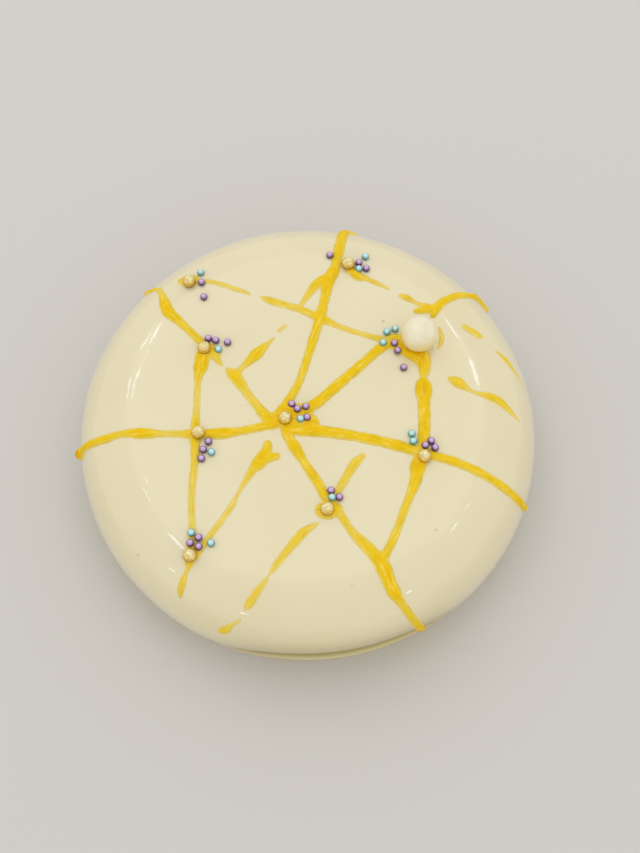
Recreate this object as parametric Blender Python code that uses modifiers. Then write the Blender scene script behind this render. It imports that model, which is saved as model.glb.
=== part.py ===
"""Round glazed birthday cake with thick yellow gel drizzle, sugar pearls and one white chocolate ball.

Metres, +Z up. The origin is the centre of the cake's flat base, and -Y is the side nearest the viewer.
"""

import math

import bmesh
import bpy
from mathutils import Vector

MM = 0.001

# The cake: its widest ring, its height, and how far the round shoulder reaches in and down from there.
# A fullness of 2 would be an ellipse. The real one leaves the flat top more gently and is fuller outside.
CAKE_RADIUS = 100 * MM
CAKE_HEIGHT = 50 * MM
SHOULDER_IN = 30 * MM
SHOULDER_DOWN = 31 * MM
SHOULDER_FULLNESS = 2.3

# The foot, where glaze has run down and pooled: a crease under the belly and a thin lip below it
CREASE_RADIUS = 96.5 * MM
CREASE_HEIGHT = 5.5 * MM
LIP_RADIUS = 97.5 * MM
LIP_HEIGHT = 2.2 * MM
BASE_RADIUS = 96.5 * MM
# At the front the belly has slumped inward over the foot, so that the lip shows below it from above. The
# slump fades out at its top, and this many degrees to each side of its middle. The lip takes a share of it.
SLUMP = 4.2 * MM
SLUMP_TOP = 38 * MM
SLUMP_FULL = 12 * MM
SLUMP_MIDDLE = 10.0
SLUMP_SPREAD = 25.0
LIP_SHARE = 0.22

TURN_STEPS = 72
SHOULDER_STEPS = 11

# How far apart the points of a gel strand are, and the share of its width that is left at its tips
GEL_STEP = 4.5 * MM
GEL_END = 0.35

# Sugar pearls and the ball, and how far the centre of each is above the glaze
PEARL_RADIUS = 1.65 * MM
PEARL_LIFT = 0.8 * MM
GOLD_RADIUS = 2.95 * MM
GOLD_LIFT = 1.8 * MM
BALL_RADIUS = 7.75 * MM
BALL_LIFT = 7.0 * MM
BALL_AT = (47.0, 32.2)
GAP = 0.3 * MM

# Places on the glaze are in millimetres as if it were laid flat: (0, 0) is the middle of the top, and
# a distance is measured along the surface, over the shoulder and down the side.
# Each throw of gel is a route through a few such places, with its half-width and its height at each.
# Where the nozzle moved fast the gel is low, and where it slowed there is a swell. Ends past the rim hang.
DRIZZLE = {
    "west": (
        (-107, -15.5, 2.1, 3.2), (-102, -14.5, 1.6, 1.9), (-86.5, -14, 1.9, 1.4),
        (-77.5, -12.5, 1.7, 1.1), (-68, -12.5, 2.4, 1.7), (-60, -12.5, 1.6, 0.6),
        (-46, -12.5, 2.1, 1.4), (-35, -12, 2.4, 1.7), (-26, -10.5, 1.8, 1.2), (-14, -7.5, 2.3, 1.8),
    ),
    "west_upright": (
        (-45.5, 25, 2.7, 1.8), (-46, 20, 3.2, 2.1), (-47, 13, 1.7, 0.9), (-47, 0, 1.6, 0.5),
        (-47, -13, 2.1, 1.5), (-46.5, -22, 1.8, 1.0), (-47, -40, 1.5, 0.6), (-46, -56, 1.7, 0.6),
        (-46.5, -66, 2.2, 1.4), (-47, -69.5, 1.1, 0.8), (-48.5, -72.5, 1.1, 0.7),
        (-50, -76, 1.6, 0.9), (-51.5, -79.5, 1.5, 0.7), (-52.5, -83, 0.7, 0.3),
    ),
    "northwest": (
        (-77, 64, 1.3, 1.6), (-71, 62, 1.5, 1.0), (-66.5, 57.5, 1.6, 0.5), (-62, 46, 2.6, 1.9),
        (-57, 41, 2.0, 1.2), (-47, 31, 1.8, 1.0), (-39.5, 22.5, 1.5, 1.0), (-37, 19.5, 0.8, 0.3),
    ),
    "northwest_pool": ((-44, 28, 2.4, 1.6), (-42, 27, 2.3, 1.5), (-39, 24.5, 1.4, 0.8)),
    "northwest_inner": (
        (-34.5, 17.5, 1.3, 0.4), (-31, 14, 2.6, 1.4), (-25.5, 6, 1.9, 0.7), (-22, 1.5, 2.1, 0.8),
        (-17.5, -4, 2.4, 1.4), (-13, -6, 2.4, 1.7),
    ),
    "north": (
        (22, 98.5, 1.6, 0.9), (16.5, 98, 2.2, 1.8), (14, 85.5, 2.4, 1.3), (12, 74, 2.4, 1.3),
        (11, 68, 2.4, 1.4), (8, 61.5, 2.9, 2.0), (7, 54.5, 2.1, 1.3), (4.5, 43, 2.2, 1.5),
        (-1, 22, 1.8, 1.2), (-5, 9.5, 1.8, 1.1), (-12, -3, 2.3, 1.8),
    ),
    "north_branch": (
        (8, 62.5, 2.6, 1.9), (3, 60, 2.3, 1.3), (-1, 54, 1.6, 0.7), (-5, 47.5, 1.0, 0.4),
    ),
    "north_dab": ((-10.5, 39, 1.0, 0.3), (-13, 36.5, 1.1, 0.4)),
    "northwest_link": (
        (-15, 33, 0.8, 0.3), (-19, 29, 1.6, 0.9), (-23, 24.5, 2.5, 1.6), (-28, 19, 1.4, 0.6),
        (-31, 15.5, 1.8, 1.0),
    ),
    "far_west": (
        (-57.5, 63, 1.8, 0.8), (-54, 62, 3.6, 1.4), (-49.5, 61, 1.8, 0.8), (-43, 60.5, 1.3, 0.5),
        (-31, 56.5, 1.3, 0.5), (-26, 54.5, 0.7, 0.2),
    ),
    "far_link": (
        (-21, 53, 1.0, 0.5), (-16, 51, 1.8, 0.9), (-5, 47.5, 1.7, 0.8), (5, 43, 2.0, 1.3),
        (13, 39, 1.5, 0.6), (21, 36, 1.4, 0.6), (33, 32.5, 1.6, 0.8),
    ),
    "far_tail": (
        (17.5, 67.5, 2.0, 1.4), (21.5, 64, 2.1, 1.5), (25, 63, 1.5, 0.8), (35, 58, 0.9, 0.3),
    ),
    "ball_approach": (
        (40, 54.5, 1.3, 0.5), (43, 53.5, 1.6, 0.8), (47, 51, 1.1, 0.5), (51.5, 49, 1.8, 1.2),
    ),
    "ball_back": ((46.5, 47, 1.3, 1.2), (51.5, 47.5, 1.7, 1.4), (56, 49.5, 2.0, 1.5)),
    "ball_side": ((56.5, 39, 0.8, 0.5), (57.5, 34, 1.2, 0.6), (56, 29, 0.8, 0.4)),
    "ball_west": ((35, 34, 1.5, 1.2), (39.5, 33, 2.2, 1.8), (41.5, 28, 2.4, 1.9)),
    "northeast": (
        (54, 45, 1.5, 1.3), (57.5, 51, 2.0, 1.5), (64.5, 56.5, 1.8, 1.4), (72, 60.5, 1.9, 1.5),
        (80, 65, 1.9, 2.2), (87.5, 64.5, 1.8, 2.2),
    ),
    "ball_throw": (
        (1.5, 0.5, 1.6, 1.0), (5, 3.5, 2.3, 1.6), (21.5, 19.5, 2.2, 1.5), (33, 30, 2.2, 1.5),
        (40, 28.5, 2.6, 1.9), (48, 23.5, 2.8, 2.0),
    ),
    "east_upright": (
        (49, 25, 3.0, 2.0), (49.5, 19, 2.7, 1.5), (49, 14.5, 1.6, 0.7), (49, 9.5, 3.5, 2.2),
        (49, 3, 2.6, 1.7), (49, -6, 2.5, 1.6), (48, -20, 2.4, 1.8), (46, -25.5, 3.1, 2.0),
        (44.5, -33, 2.3, 1.4), (41, -42, 1.8, 1.0), (35, -58, 1.8, 1.0), (30, -67.5, 2.2, 1.4),
    ),
    "east": (
        (-9, -10, 2.2, 1.7), (-3, -10.3, 2.5, 1.9), (5, -10.5, 2.6, 1.7), (21, -12.8, 2.3, 1.4),
        (37, -16.5, 2.4, 1.6),
        (48, -20, 2.2, 1.5), (62, -24, 2.0, 1.3), (81.5, -33, 1.9, 1.3), (91.5, -37, 1.9, 1.4),
        (102, -39.5, 1.6, 1.9),
    ),
    "southeast": (
        (-9, -12, 1.9, 1.3), (-5.5, -17.5, 2.5, 1.5), (-2.8, -22, 2.0, 1.3), (0.3, -27, 1.9, 1.3),
        (4.8, -34, 2.1, 1.3), (8, -40, 2.0, 1.3), (14, -47.5, 1.8, 0.9), (19, -55, 1.9, 0.9),
        (29.5, -66.5, 2.9, 1.6), (34.5, -77, 2.7, 1.8), (40, -84.5, 1.8, 1.0),
        (48, -93.5, 1.8, 1.2), (55.5, -101.5, 1.8, 1.7), (61, -107.5, 1.6, 2.0),
        (65.5, -112.5, 1.6, 2.6), (70, -115.5, 1.7, 1.8),
    ),
    "southwest": (
        (-16.5, -16.5, 1.7, 1.0), (-17, -20, 2.3, 1.6), (-19.5, -24.5, 2.8, 1.7),
        (-22.5, -28.5, 1.9, 1.1), (-27.5, -37.5, 1.0, 0.4), (-31, -45, 1.4, 0.5),
        (-38, -56, 1.4, 0.6), (-44, -65, 1.6, 0.9),
    ),
    "southwest_wing": ((-18, -23.5, 2.4, 1.6), (-15, -22.5, 2.1, 1.3), (-12.5, -22, 1.5, 0.8)),
    "south": (
        (23, -21.5, 1.5, 0.5), (19, -26, 2.1, 0.9), (14, -35, 1.7, 0.7), (10, -42, 2.0, 1.0),
        (8.5, -45.5, 3.7, 1.5),
    ),
    "south_pool": ((7, -45.5, 3.4, 1.5), (11.5, -45, 3.1, 1.4)),
    "south_end": (
        (5, -51, 0.7, 0.2), (-0.5, -54.5, 2.0, 0.9), (-4, -58.5, 1.9, 0.9), (-9, -65, 1.7, 0.8),
        (-12.5, -70, 1.3, 0.6), (-14.5, -73, 0.7, 0.3), (-16, -75.5, 1.2, 0.5),
        (-19, -79.5, 1.6, 0.7), (-22, -84, 1.9, 0.8), (-24, -86.5, 1.0, 0.3),
    ),
    "south_drop": (
        (-26.5, -91.5, 0.8, 0.3), (-31, -94.5, 1.2, 0.6), (-34.5, -97.5, 2.0, 1.0),
        (-37, -99, 1.2, 0.5),
    ),
    "east_dash": ((67.5, 40, 1.4, 0.6), (71, 38, 1.8, 0.9), (74.5, 36, 1.5, 0.6)),
    "east_dash_low": (
        (82, 30, 0.9, 0.3), (86.5, 27, 1.5, 0.8), (91.5, 22.5, 1.3, 0.6), (97.5, 17.5, 0.8, 0.3),
    ),
    "east_drops": (
        (60.5, 14.5, 1.4, 0.6), (64, 12.5, 2.3, 1.3), (70, 8.5, 1.0, 0.4), (80, 5.5, 2.0, 1.3),
        (87, 0.5, 1.3, 0.6), (91.5, -2.5, 0.7, 0.2),
    ),
    "puddle": ((-12.5, -5, 3.4, 1.9), (-6, -5, 5.0, 2.2), (0.5, -7, 4.0, 1.9)),
    "puddle_far": ((-8.5, 0, 3.0, 1.8), (-3, -1.5, 3.2, 1.9), (3, 2, 2.2, 1.5)),
}

# Each cluster is named for its place: where its gold pearl is, and the small pearls counted from there
CLUSTERS = {
    "far_west": ((-53, 60), ((4.5, 5.5), (5.3, -0.2), (6.6, -7.5))),
    "northwest": ((-45, 27), ((1.5, 5.1), (4.8, 4.2), (9.9, 3.3), (6.1, -0.2))),
    "centre": ((-9.5, -5.5), ((2.7, 6.5), (5.1, 4.2), (8.6, 5.4), (9.2, 0.4), (6.5, -0.4))),
    "west": ((-45.5, -12.5), ((4.3, -3.6), (2.3, -7.2), (1.8, -11.2), (5.8, -8.4))),
    "far": ((16.8, 69.5), ((-8.1, 5.0), (4.8, 1.2), (8.1, -1.7), (7.7, 4.6), (4.8, -2.0))),
    "east": ((48.5, -22), ((-5.0, 10.5), (-4.4, 7.1), (3.1, 7.3), (0.4, 4.9), (4.6, 4.3))),
    "south": ((8.5, -45.5), ((1.5, 8.3), (4.9, 5.5), (1.9, 5.1))),
    "southwest": ((-46.2, -65.2), ((0.0, 9.2), (8.1, 5.0), (3.0, 7.3), (-0.2, 5.0), (3.3, 3.5))),
}
BESIDE_BALL = ((-13.3, 4.0), (-9.7, 5.5), (-15.0, -1.6), (-10.2, -1.9), (-8.8, -5.2), (-6.3, -13.0))


def clear_scene():
    for old in list(bpy.data.objects):
        bpy.data.objects.remove(old)


def new_collection(name):
    collection = bpy.data.collections.new(name)
    bpy.context.scene.collection.children.link(collection)
    return collection


def new_material(name, colour, roughness, metallic=0.0):
    material = bpy.data.materials.new(name)
    material.diffuse_color = (*colour, 1.0)
    material.use_nodes = True
    shader = material.node_tree.nodes["Principled BSDF"]
    shader.inputs["Base Color"].default_value = (*colour, 1.0)
    shader.inputs["Roughness"].default_value = roughness
    shader.inputs["Metallic"].default_value = metallic
    return material


def new_object(name, mesh, collection, material=None):
    thing = bpy.data.objects.new(name, mesh)
    if material:
        mesh.materials.clear()
        mesh.materials.append(material)
    collection.objects.link(thing)
    return thing


def glaze_outline():
    """Radius and height of the glaze from the middle of the top, over the shoulder and down to the base."""
    power = 2 / SHOULDER_FULLNESS
    points = [(0.0, CAKE_HEIGHT)]
    for step in range(SHOULDER_STEPS + 1):
        angle = 0.5 * math.pi * step / SHOULDER_STEPS
        out = SHOULDER_IN * math.sin(angle) ** power
        down = SHOULDER_DOWN * (1 - abs(math.cos(angle)) ** power)
        points.append((CAKE_RADIUS - SHOULDER_IN + out, CAKE_HEIGHT - down))
    belly = CAKE_HEIGHT - SHOULDER_DOWN
    points.append((CAKE_RADIUS - 0.4 * MM, 0.7 * belly))
    points.append((CAKE_RADIUS - 1.4 * MM, 0.45 * belly))
    points.append((CREASE_RADIUS, CREASE_HEIGHT))
    points.append((LIP_RADIUS, 0.5 * (CREASE_HEIGHT + LIP_HEIGHT)))
    points.append((LIP_RADIUS, LIP_HEIGHT))
    points.append((BASE_RADIUS, 0.0))
    return points


def slump_inward(x, y, z):
    """How far the slumped front lies inside the turned outline."""
    off_middle = (math.degrees(math.atan2(x, -y)) - SLUMP_MIDDLE) / SLUMP_SPREAD
    down = min(max((SLUMP_TOP - z) / (SLUMP_TOP - SLUMP_FULL), 0.0), 1.0) ** 1.5
    over_lip = min(max((z - LIP_HEIGHT) / (CREASE_HEIGHT - LIP_HEIGHT), 0.0), 1.0)
    share = min(down, LIP_SHARE + (1.0 - LIP_SHARE) * over_lip)
    return SLUMP * share * math.exp(-(off_middle**4))


def place_on_glaze(across, along):
    """The point of the glaze, and its outward normal, for a place of the laid-flat glaze in millimetres."""
    distance = math.hypot(across, along) * MM
    angle = math.atan2(along, across)
    outline = glaze_outline()
    for start, end in zip(outline, outline[1:]):
        length = math.dist(start, end)
        if distance <= length or end == outline[-1]:
            break
        distance -= length
    share = distance / length
    radius = start[0] + share * (end[0] - start[0])
    height = start[1] + share * (end[1] - start[1])
    out = Vector((math.cos(angle), math.sin(angle), 0.0))
    radius -= slump_inward(out.x, out.y, height)
    slope = Vector((start[1] - end[1], 0.0, end[0] - start[0])).normalized()
    return out * radius + Vector((0.0, 0.0, height)), out * slope.x + Vector((0.0, 0.0, slope.z))


def catmull_rom(before, start, end, after, t):
    linear = (end - before) * t
    square = (2 * before - 5 * start + 4 * end - after) * t**2
    cube = (3 * start - before - 3 * end + after) * t**3
    return 0.5 * (2 * start + linear + square + cube)


def smooth_route(stops):
    """A smooth curve through the stops of a strand, with a point about every GEL_STEP."""
    ends = [stops[0], *stops, stops[-1]]
    route = []
    for before, start, end, after in zip(ends, ends[1:], ends[2:], ends[3:]):
        steps = max(1, round(math.dist(start[:2], end[:2]) * MM / GEL_STEP))
        for step in range(steps):
            t = step / steps
            route.append(tuple(catmull_rom(*values, t) for values in zip(before, start, end, after)))
    route.append(stops[-1])
    return route


def round_ends(route):
    """Adds a small last point past each end, so that the gel closes in a blunt tip."""
    tips = []
    for tip, inner in ((route[0], route[1]), (route[-1], route[-2])):
        length = math.dist(tip[:2], inner[:2])
        reach = 0.8 * tip[2] / length
        tips.append((
            tip[0] + reach * (tip[0] - inner[0]),
            tip[1] + reach * (tip[1] - inner[1]),
            GEL_END * tip[2],
            GEL_END * tip[3],
        ))
    return [tips[0], *route, tips[1]]


def make_gel_strand(name, stops, collection, material):
    """A round tube sunk so far that only its own width and height of it stand over the glaze."""
    route = round_ends(smooth_route(stops))
    curve = bpy.data.curves.new(name, "CURVE")
    curve.dimensions = "3D"
    curve.bevel_depth = 1.0
    curve.bevel_resolution = 2
    curve.use_fill_caps = True
    spline = curve.splines.new("POLY")
    spline.points.add(len(route) - 1)
    for point, (across, along, half_width, height) in zip(spline.points, route):
        half = half_width * MM
        rise = height * MM
        tube = (half * half + rise * rise) / (2 * rise)
        surface, normal = place_on_glaze(across, along)
        point.co = (*(surface - normal * (tube - rise)), 1.0)
        point.radius = tube
    guide = new_object(name + "_guide", curve, collection)
    bpy.context.view_layer.update()
    mesh = bpy.data.meshes.new_from_object(guide.evaluated_get(bpy.context.evaluated_depsgraph_get()))
    place = guide.matrix_world.copy()
    bpy.data.objects.remove(guide)
    work = bmesh.new()
    work.from_mesh(mesh)
    bmesh.ops.remove_doubles(work, verts=work.verts, dist=0.01 * MM)
    bmesh.ops.recalc_face_normals(work, faces=work.faces)
    work.to_mesh(mesh)
    work.free()
    strand = new_object(name, mesh, collection, material)
    strand.matrix_world = place


def make_sphere(name, radius, centre, collection, material, segments, rings):
    mesh = bpy.data.meshes.new(name)
    work = bmesh.new()
    bmesh.ops.create_uvsphere(work, u_segments=segments, v_segments=rings, radius=radius)
    work.to_mesh(mesh)
    work.free()
    sphere = new_object(name, mesh, collection, material)
    sphere.location = centre
    return sphere


def make_glazed_cake(collection, material):
    """The turned body, slumped at the front."""
    outline = glaze_outline()
    mesh = bpy.data.meshes.new("cake")
    points = [(radius, 0.0, height) for radius, height in outline] + [(0.0, 0.0, 0.0)]
    mesh.from_pydata(points, [(i, i + 1) for i in range(len(points) - 1)], [])
    cake = new_object("cake", mesh, collection, material)
    turn = cake.modifiers.new("turn", "SCREW")
    turn.steps = TURN_STEPS
    turn.render_steps = TURN_STEPS
    turn.use_merge_vertices = True
    turn.merge_threshold = 0.00001
    turned = bpy.data.meshes.new_from_object(cake.evaluated_get(bpy.context.evaluated_depsgraph_get()))
    cake.modifiers.clear()
    cake.data = turned
    bpy.data.meshes.remove(mesh)
    for vertex in turned.vertices:
        radius = math.hypot(vertex.co.x, vertex.co.y)
        if radius > CAKE_RADIUS - SHOULDER_IN:
            shrink = 1.0 - slump_inward(*vertex.co) / radius
            vertex.co.x *= shrink
            vertex.co.y *= shrink
    return cake


def fuse(body, toppings):
    """Joins every topping to the body in one union, then removes the loose ones."""
    union = body.modifiers.new("toppings", "BOOLEAN")
    union.operation = "UNION"
    union.operand_type = "COLLECTION"
    union.collection = toppings
    union.solver = "EXACT"
    union.material_mode = "TRANSFER"
    bpy.context.view_layer.update()
    fused = bpy.data.meshes.new_from_object(body.evaluated_get(bpy.context.evaluated_depsgraph_get()))
    body.modifiers.clear()
    body.data = fused
    for topping in list(toppings.objects):
        bpy.data.objects.remove(topping)
    bpy.data.collections.remove(toppings)


def cut_ball_seat(body, centre, cutters):
    """A shallow round seat for the ball, a hair wider than the ball."""
    cutter = make_sphere("ball_seat", BALL_RADIUS + GAP, centre, cutters, None, 24, 16)
    cutter.hide_render = True
    cutter.display_type = "WIRE"
    seat = body.modifiers.new("ball seat", "BOOLEAN")
    seat.operation = "DIFFERENCE"
    seat.object = cutter


clear_scene()
parts = new_collection("birthday_cake")
cutters = new_collection("cutters")
toppings = new_collection("toppings")

glaze = new_material("cream glaze", (0.80, 0.72, 0.46), 0.12)
gel = new_material("yellow gel", (0.78, 0.42, 0.02), 0.10)
gold = new_material("gold pearl", (0.70, 0.50, 0.20), 0.28, 0.8)
purple = new_material("purple pearl", (0.32, 0.20, 0.38), 0.3, 0.3)
white = new_material("white chocolate", (0.80, 0.72, 0.52), 0.25)

cake = make_glazed_cake(parts, glaze)
for strand_name, strand_stops in DRIZZLE.items():
    make_gel_strand("gel_" + strand_name, strand_stops, toppings, gel)
for cluster_name, (gold_at, small_ones) in CLUSTERS.items():
    spot, up = place_on_glaze(*gold_at)
    make_sphere("gold_" + cluster_name, GOLD_RADIUS, spot + up * GOLD_LIFT, toppings, gold, 10, 7)
    for number, (across_by, along_by) in enumerate(small_ones):
        spot, up = place_on_glaze(gold_at[0] + across_by, gold_at[1] + along_by)
        pearl_name = "pearl_%s_%d" % (cluster_name, number)
        make_sphere(pearl_name, PEARL_RADIUS, spot + up * PEARL_LIFT, toppings, purple, 6, 4)
for number, (across_by, along_by) in enumerate(BESIDE_BALL):
    spot, up = place_on_glaze(BALL_AT[0] + across_by, BALL_AT[1] + along_by)
    make_sphere("pearl_ball_%d" % number, PEARL_RADIUS, spot + up * PEARL_LIFT, toppings, purple, 6, 4)
fuse(cake, toppings)

ball_spot, ball_up = place_on_glaze(*BALL_AT)
ball_centre = ball_spot + ball_up * BALL_LIFT
ball = make_sphere("chocolate_ball", BALL_RADIUS, ball_centre, parts, white, 24, 16)
ball.data.shade_smooth()
cut_ball_seat(cake, ball_centre, cutters)
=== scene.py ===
"""Looks of a round cake in cream glaze, with yellow gel drizzle, sugar pearls and a chocolate ball."""

import math

import bpy
import numpy as np
from mathutils import Matrix, Vector


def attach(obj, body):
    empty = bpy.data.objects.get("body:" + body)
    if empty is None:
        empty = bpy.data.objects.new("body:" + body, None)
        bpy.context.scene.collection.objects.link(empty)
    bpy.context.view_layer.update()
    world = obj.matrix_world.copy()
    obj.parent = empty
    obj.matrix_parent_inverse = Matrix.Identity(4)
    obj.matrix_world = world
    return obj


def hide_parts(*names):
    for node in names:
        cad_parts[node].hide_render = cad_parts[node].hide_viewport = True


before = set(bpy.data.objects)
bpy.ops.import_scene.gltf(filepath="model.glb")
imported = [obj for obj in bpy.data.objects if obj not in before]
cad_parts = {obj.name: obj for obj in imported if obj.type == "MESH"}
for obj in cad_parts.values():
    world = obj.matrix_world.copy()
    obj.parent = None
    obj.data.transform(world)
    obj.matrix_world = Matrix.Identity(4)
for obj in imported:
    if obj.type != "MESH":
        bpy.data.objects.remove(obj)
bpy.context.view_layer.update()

# The viewpoint is in front of the cake and well above it. The lens, the place and the small roll were
# fitted to the outline of the cake, in a frame of 640 by 853.
MM = 0.001
CAMERA_AIM = Vector((5.17, 13.1, 0.0)) * MM
CAMERA_DISTANCE = 562.5 * MM
CAMERA_ELEVATION = math.radians(66.73)
CAMERA_ROLL = math.radians(0.643)
CAMERA_LENS = 51.15
CAMERA_NEAREST = 50 * MM

bpy.ops.object.select_all(action="DESELECT")
bpy.ops.object.camera_add()
camera = bpy.context.object
camera.data.lens = CAMERA_LENS
camera.data.clip_start = CAMERA_NEAREST
tip = Matrix.Rotation(math.pi / 2 - CAMERA_ELEVATION, 4, "X") @ Matrix.Rotation(CAMERA_ROLL, 4, "Z")
back_off = tip @ Vector((0.0, 0.0, CAMERA_DISTANCE))
camera.matrix_world = Matrix.Translation(CAMERA_AIM + back_off) @ tip
bpy.context.scene.camera = camera
bpy.context.scene.view_settings.view_transform = "Standard"

# The floor is pale and matt, and a hair below the cake. The room round it is soft, warm and bright along
# the horizon and a cooler grey overhead.
FLOOR_SIDE = 4.0
FLOOR_BELOW = 0.6 * MM
FLOOR_COLOUR = (0.66, 0.64, 0.60, 1.0)
FLOOR_ROUGHNESS = 0.6
HORIZON_COLOUR = (0.89, 0.85, 0.79, 1.0)
OVERHEAD_COLOUR = (0.72, 0.72, 0.73, 1.0)
OVERHEAD_FROM = 0.9
ROOM_STRENGTH = 1.12

bpy.ops.mesh.primitive_plane_add(size=FLOOR_SIDE, location=(0.0, 0.0, -FLOOR_BELOW))
floor = bpy.context.object
floor.name = "floor"
floor_material = bpy.data.materials.new("pale floor")
floor_material.use_nodes = True
floor_shader = floor_material.node_tree.nodes["Principled BSDF"]
floor_shader.inputs["Base Color"].default_value = FLOOR_COLOUR
floor_shader.inputs["Roughness"].default_value = FLOOR_ROUGHNESS
floor.data.materials.append(floor_material)

room = bpy.data.worlds.new("soft room")
bpy.context.scene.world = room
room.use_nodes = True
room_nodes = room.node_tree.nodes
room_links = room.node_tree.links
look_up = room_nodes.new("ShaderNodeTexCoord")
height_of_look = room_nodes.new("ShaderNodeSeparateXYZ")
fade = room_nodes.new("ShaderNodeValToRGB")
horizon, overhead = fade.color_ramp.elements
horizon.color = HORIZON_COLOUR
overhead.color = OVERHEAD_COLOUR
overhead.position = OVERHEAD_FROM
room_links.new(look_up.outputs["Generated"], height_of_look.inputs[0])
room_links.new(height_of_look.outputs["Z"], fade.inputs["Fac"])
room_links.new(fade.outputs["Color"], room_nodes["Background"].inputs["Color"])
room_nodes["Background"].inputs["Strength"].default_value = ROOM_STRENGTH

# One broad panel overhead lights the top. The rest are small cool ceiling lamps, each of which the round
# shoulder of the glaze shows as a bright streak.
PANEL_COLOUR = (1.0, 0.99, 0.93)
LAMP_COLOUR = (0.66, 0.77, 1.0)
LAMP_DISTANCE = 1.4
LAMP_WATTS_PER_AREA = 22.0


def add_lamp(name, azimuth, elevation, distance, size, power, colour):
    """A square lamp that faces the cake. Azimuth 0 is beyond it and 90 is to the right, in degrees."""
    turn = math.radians(azimuth)
    rise = math.radians(elevation)
    toward = Vector((math.sin(turn) * math.cos(rise), math.cos(turn) * math.cos(rise), math.sin(rise)))
    bpy.ops.object.light_add(type="AREA", location=toward * distance)
    lamp = bpy.context.object
    lamp.name = name
    lamp.data.size = size
    lamp.data.energy = power
    lamp.data.color = colour
    lamp.rotation_euler = toward.to_track_quat("Z", "Y").to_euler()


add_lamp("overhead panel", -10, 68, distance=1.6, size=1.3, power=2.4, colour=PANEL_COLOUR)
for name, azimuth, elevation, size in (
    ("far left lamp", -32, 51, 0.07),
    ("far left lower lamp", -36, 57, 0.06),
    ("far left outer lamp", -38, 46, 0.055),
    ("left side lamp", -41, 57, 0.035),
    ("left side outer lamp", -47, 51, 0.05),
    ("far right lamp", 30, 59, 0.07),
    ("far right small lamp", 24, 56, 0.05),
    ("right lamp", 88, 64, 0.06),
    ("right small lamp", 79, 62, 0.03),
    ("left lamp", -49, 67, 0.035),
    ("left lower lamp", -65, 65, 0.03),
    ("low left lamp", -98, 66, 0.08),
    ("near left lamp", -127, 30, 0.05),
    ("near right lamp", 129, 63, 0.03),
    ("low right lamp", 140, 32, 0.07),
    ("front lamp", -158, 22, 0.05),
):
    power = LAMP_WATTS_PER_AREA * size * size
    add_lamp(name, azimuth, elevation, LAMP_DISTANCE, size, power, LAMP_COLOUR)

# The cake is a mousse on a sponge, poured over with cream-white glaze that has run down the sides and
# pooled at the foot. The glaze hides all the rest, so it is one closed skin, turned like a pot. At the
# front it has slumped inward over the foot, so that the pooled lip shows below it from above.
CAKE_RADIUS = 100 * MM
CAKE_HEIGHT = 50 * MM
SHOULDER_IN = 30 * MM
SHOULDER_DOWN = 31 * MM
SHOULDER_FULLNESS = 2.3
BELLY_TUCK = 0.4 * MM
BELLY_TUCK_UP = 0.7
UNDERCUT = 1.4 * MM
UNDERCUT_UP = 0.45
CREASE_RADIUS = 96.5 * MM
CREASE_HEIGHT = 5.5 * MM
LIP_RADIUS = 97.5 * MM
LIP_HEIGHT = 2.2 * MM
BASE_RADIUS = 96.5 * MM
SLUMP = 4.2 * MM
SLUMP_TOP = 38 * MM
SLUMP_FULL = 12 * MM
SLUMP_MIDDLE = 10.0
SLUMP_SPREAD = 25.0
SLUMP_EASE = 1.5
SLUMP_SQUARENESS = 4
LIP_SHARE = 0.22
TURN_STEPS = 216
TOP_RINGS = 18
SHOULDER_RINGS = 40
FOOT_RINGS = 5
FOOT_SMOOTHINGS = 4
# Soft waves in the glaze, in millimetres. The wave numbers are across, along and up, and then a phase.
LONG_WAVE_HEIGHT = 0.06
LONG_WAVES = ((0.09, 0.05, 0.10, 0.0), (-0.10, 0.07, 0.08, 1.3))
SHORT_WAVE_HEIGHT = 0.05
SHORT_WAVES = ((0.33, -0.21, 0.15, 0.0), (0.17, 0.29, 0.0, 0.7))
CALM_RADIUS = 55.0
CALM_FADE = 25.0
FOOT_FADE = 12.0
TINY = 1e-9
WELD = 0.01 * MM


def soften(before, middle, after):
    return 0.25 * before + 0.5 * middle + 0.25 * after


def glaze_outline():
    """Radius and height of the glaze, from the middle of the top over the shoulder and down to the base."""
    rings = [(CAKE_RADIUS - SHOULDER_IN) * ring / TOP_RINGS for ring in range(TOP_RINGS)]
    points = [(radius, CAKE_HEIGHT) for radius in rings]
    power = 2 / SHOULDER_FULLNESS
    for ring in range(SHOULDER_RINGS + 1):
        angle = 0.5 * math.pi * ring / SHOULDER_RINGS
        out = SHOULDER_IN * math.sin(angle) ** power
        down = SHOULDER_DOWN * (1 - abs(math.cos(angle)) ** power)
        points.append((CAKE_RADIUS - SHOULDER_IN + out, CAKE_HEIGHT - down))
    belly = CAKE_HEIGHT - SHOULDER_DOWN
    corners = [
        points[-1],
        (CAKE_RADIUS - BELLY_TUCK, BELLY_TUCK_UP * belly),
        (CAKE_RADIUS - UNDERCUT, UNDERCUT_UP * belly),
        (CREASE_RADIUS, CREASE_HEIGHT),
        (LIP_RADIUS, 0.5 * (CREASE_HEIGHT + LIP_HEIGHT)),
        (LIP_RADIUS, LIP_HEIGHT),
        (BASE_RADIUS, 0.0),
    ]
    foot = []
    for start, end in zip(corners, corners[1:]):
        for ring in range(FOOT_RINGS):
            share = ring / FOOT_RINGS
            foot.append((start[0] + share * (end[0] - start[0]), start[1] + share * (end[1] - start[1])))
    foot = np.array([*foot, corners[-1]])
    for _ in range(FOOT_SMOOTHINGS):
        foot[1:-1] = soften(foot[:-2], foot[1:-1], foot[2:])
    return np.concatenate([points[:-1], foot])


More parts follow.
